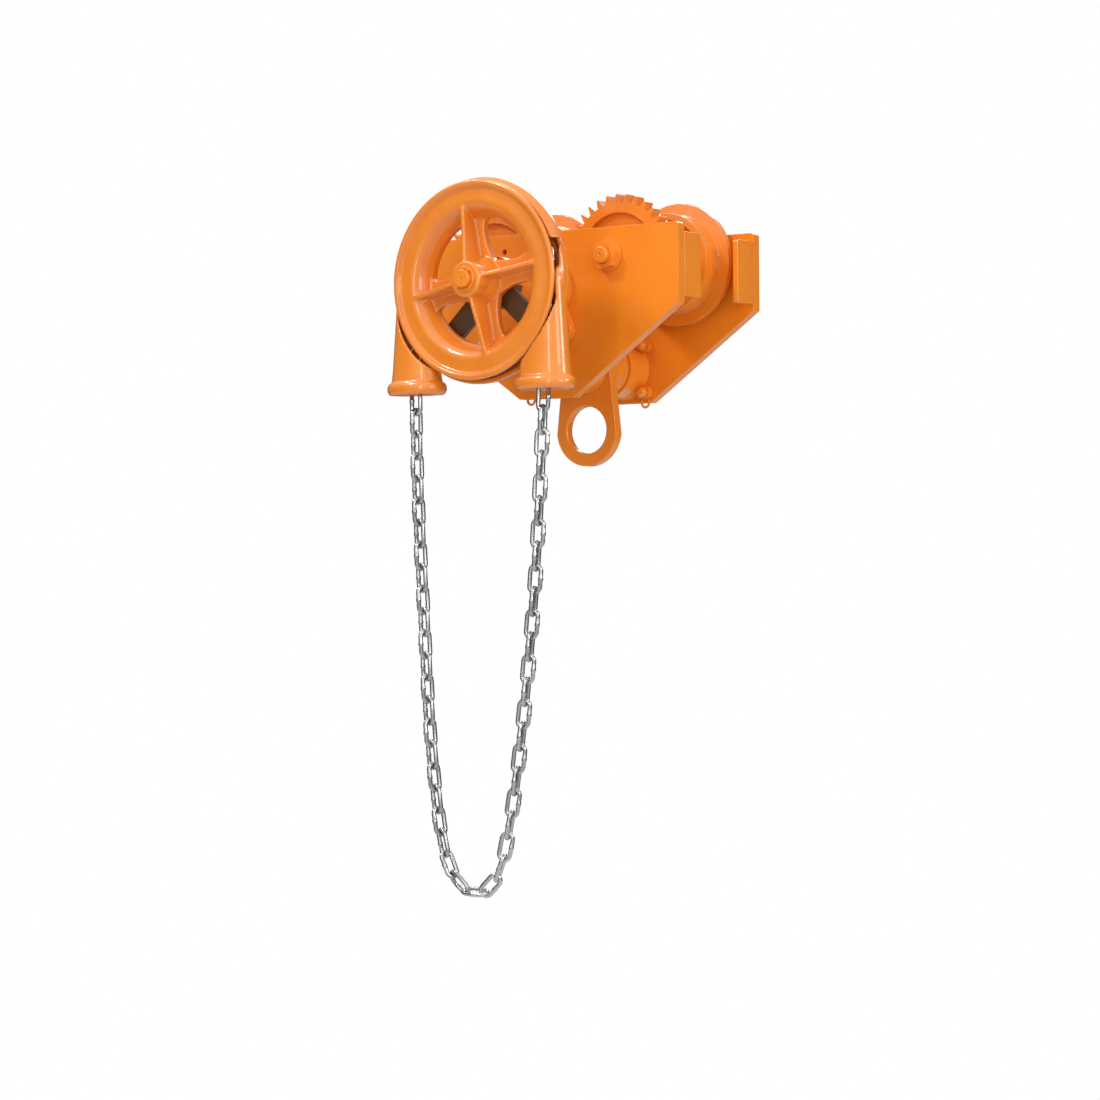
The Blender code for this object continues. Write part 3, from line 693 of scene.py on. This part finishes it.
def build_chain_guide():
    """The ring channel behind the wheel with its hood and its two spouts."""
    channel = [
        (79.0, GUIDE_BACK), (98.0, GUIDE_BACK), (106.5, -187.0), (112.0, -197.0),
        (113.3, -206.0), (108.5, -213.6), (105.0, -213.6), (107.6, -206.0),
        (105.0, -194.0), (98.0, -186.0), (79.0, -186.0),
    ]
    radii = [1.0, 8.0, 8.0, 8.0, 5.0, 1.2, 1.2, 5.0, 7.0, 5.0, 1.0]
    body = lathe(rounded(channel, radii, 4), 160, DRIVE)
    bottom, top = DRIVE_Z - 140, DRIVE_Z - 6
    lower_half = [(-140, bottom), (140, bottom), (140, top), (-140, top)]
    body = cut(body, prism(lower_half, -240, -206.5))
    bead = []
    for k in range(20):
        t = 2 * math.pi * k / 20
        bead.append((32.0 + 5.4 * math.cos(t), LIP_Z + 7.0 * math.sin(t)))
    cone = [
        (0, LIP_Z), (34.0, LIP_Z), (32.2, LIP_Z + 8.0), (30.6, LIP_Z + 20.0),
        (23.6, DRIVE_Z - 3.0), (21.5, DRIVE_Z + 3.0), (0, DRIVE_Z + 3.0),
    ]
    bore = [
        (0, LIP_Z - 20), (31.6, LIP_Z - 20), (29.4, LIP_Z + 4),
        (20.0, DRIVE_Z - 2.0), (20.0, DRIVE_Z + 6.0), (0, DRIVE_Z + 6.0),
    ]
    spout = rounded(cone, [0, 1, 6, 10, 3, 3, 0], 5)
    outer, inner = [], []
    for sx in (-1, 1):
        outer += [oval(spout, sx, 0.62), oval(bead, sx, 0.66)]
        inner.append(oval(bore, sx, 0.57))
    clearance = lathe(
        [
            (0, -300), (111.6, -300), (111.6, -214.2), (104.2, -214.2),
            (104.2, -195.0), (97.0, -186.8), (0, -186.8),
        ],
        160,
        DRIVE,
    )
    middle = rod(RING_R, -300, -150, 0, DRIVE_Z, 120)
    notch = [(-222, 5), (-209.0, 5), (-209.0, 42), (-222, 42)]
    notch = prism(rounded(notch, [0, 9, 9, 0], 8), 90.0, 125.0, "X")
    notch.transform(Matrix.Translation(DRIVE))
    relief = prism([(-212, 8), (-202.5, 8), (-202.5, 40), (-212, 40)], 90.0, 107.4, "X")
    relief.transform(Matrix.Translation(DRIVE))
    bolts = []
    for a in ARM_TURNS:
        x, z = GUIDE_BOLTS_AT * math.cos(a), DRIVE_Z + GUIDE_BOLTS_AT * math.sin(a)
        bolts.append(rod(GUIDE_BOLT_R, -200, -170, x, z, 24))
    mesh = cut(join(body, *outer), *inner, clearance, middle, notch, relief, *bolts)
    mesh = cast_skin(mesh, CAST_VOXEL, 3)
    place(
        "chain_guide_casting", mesh, CAST, "trolley_frame", "orange_cast", "chain_guide"
    )


build_chain_guide()


# ---------------------------------------------------------------- plates, wheels, bolts

# nodes that already have their own piece above
MADE = ("hand_chain", "hand_chain_on_wheel", "hand_wheel", "chain_guide")

# the first row that a node's name starts with gives its paint and broken edge
FINISHES = (
    (
        ("side_plate", "bumper", "suspension", "load_bar_nut"),
        ENAMEL, "orange_enamel", 1.0,
    ),
    (("axle", "adjusting", "load_bar_", "collar_bolt"), ENAMEL, "orange_enamel", 0.6),
    (("geared", "flanged", "drive_pinion"), CAST, "orange_cast", 0.5),
    (("hand_wheel", "chain_guide", "shaft_housing"), CAST, "orange_cast", 0.8),
    ("", ENAMEL, "orange_enamel", 0.5),
)

# the bracket is orange above this height; below it the straps carry painted shade, a
# dark brown for the shadow behind the hand wheel
STRAP_TOP = DRIVE_Z - 4.0


def paint_strap_shade():
    # faces below STRAP_TOP keep the painted shade; faces above it get the orange
    # casting paint
    straps = refined("guide_bracket", PAINTED_SHADE_BROWN, "dark_enamel", 0.8, STRAP_TOP)
    straps.data.materials.append(CAST)
    for face in straps.data.polygons:
        face.material_index = int(face.center.z > STRAP_TOP * MM)


for node_name in frame["nodes"]:
    if node_name in MADE:
        continue
    if node_name == "guide_bracket":
        paint_strap_shade()
        continue
    for starts, paint, slot, edge in FINISHES:
        if node_name.startswith(starts):
            refined(node_name, paint, slot, edge)
            break


# ---------------------------------------------------------------- stage and light

# the side that the front fill comes from
FRONT_WAY = (0.57, -0.82, 0.0)
FLOOR_Z = -2.0
FLOOR_R = 5.6
FLOOR_GREY = (0.62, 0.62, 0.63, 1.0)
FLOOR_ROUGHNESS = 0.9
WHITE = (1.0, 1.0, 1.0, 1.0)
SKY_LOW = (0.36, 0.37, 0.39, 1.0)
SKY_HIGH = (0.95, 0.96, 0.98, 1.0)
# (place on the way up, brightness) between the sky's two ends
SKY_BETWEEN = ((0.40, 0.10), (0.58, 0.12), (0.78, 0.55))
FILL_SPAN = (0.30, 0.72)
FILL_BRIGHT = 0.52


def make_stage():
    bpy.ops.mesh.primitive_circle_add(
        vertices=128, radius=FLOOR_R, fill_type="NGON", location=(0, 0, FLOOR_Z)
    )
    floor = bpy.context.object
    floor.name = "floor"
    mat = bpy.data.materials.new("floor")
    mat.use_nodes = True
    shader = mat.node_tree.nodes["Principled BSDF"]
    shader.inputs["Base Color"].default_value = FLOOR_GREY
    shader.inputs["Roughness"].default_value = FLOOR_ROUGHNESS
    floor.data.materials.append(mat)


def area(name, at, aim, size, power, tall=None):
    """An area light at one place, aimed at another."""
    data = bpy.data.lights.new(name, "AREA")
    data.energy = power
    data.shape = "RECTANGLE"
    data.size = size
    data.size_y = tall or size
    lamp = bpy.data.objects.new(name, data)
    SCENE.collection.objects.link(lamp)
    lamp.location = at
    way = Vector(aim) - Vector(at)
    lamp.rotation_euler = way.to_track_quat("-Z", "Y").to_euler()


def make_world():
    """A studio, bright above and dim at eye level, that itself looks plain white."""
    world = bpy.data.worlds.new("studio")
    world.use_nodes = True
    tree = world.node_tree
    back = tree.nodes["Background"]
    way = node(tree, "ShaderNodeSeparateXYZ")
    aim = node(tree, "ShaderNodeTexCoord").outputs["Generated"]
    tree.links.new(aim, way.inputs[0])
    ramp = node(tree, "ShaderNodeValToRGB")
    stops = ramp.color_ramp.elements
    stops[0].position = 0.0
    stops[0].color = SKY_LOW
    stops[1].position = 1.0
    stops[1].color = SKY_HIGH
    for at, grey in SKY_BETWEEN:
        stop = stops.new(at)
        stop.color = (grey, grey, grey * 1.03, 1.0)
    height = spread(tree, way.outputs["Z"], -1.0, 1.0, 0.0, 1.0)
    tree.links.new(height, ramp.inputs["Fac"])
    toward = node(tree, "ShaderNodeVectorMath", operation="DOT_PRODUCT")
    toward.inputs[1].default_value = FRONT_WAY
    tree.links.new(aim, toward.inputs[0])
    fill = node(tree, "ShaderNodeMixRGB", blend_type="ADD")
    fill.inputs["Fac"].default_value = 1.0
    tree.links.new(ramp.outputs["Color"], fill.inputs[1])
    front = spread(tree, toward.outputs["Value"], *FILL_SPAN, 0.0, FILL_BRIGHT)
    tree.links.new(front, fill.inputs[2])
    seen = node(tree, "ShaderNodeLightPath").outputs["Is Camera Ray"]
    shade = node(tree, "ShaderNodeMix", data_type="RGBA")
    shade.inputs[7].default_value = WHITE
    tree.links.new(seen, shade.inputs[0])
    tree.links.new(fill.outputs["Color"], shade.inputs[6])
    tree.links.new(shade.outputs[2], back.inputs["Color"])
    back.inputs["Strength"].default_value = 1.0
    SCENE.world = world


make_stage()
make_world()
area("key", (-1.6, -2.6, 3.0), (0, 0, 0), 0.7, 64.0)
area("top", (-2.1, 0.1, 2.9), (0, 0, 0), 0.5, 17.0)
area("front", (0.6, -3.8, 0.5), (0, 0, -0.2), 0.35, 16.0, 2.4)
area("side", (3.2, -0.4, 0.9), (0, 0, -0.1), 0.9, 26.0)
area("fill", (2.9, -2.3, 0.3), (0, 0, -0.1), 1.1, 15.0)
area("back", (-1.0, 2.8, 2.2), (0, 0, 0), 1.6, 40.0)
SCENE.view_settings.view_transform = "Standard"
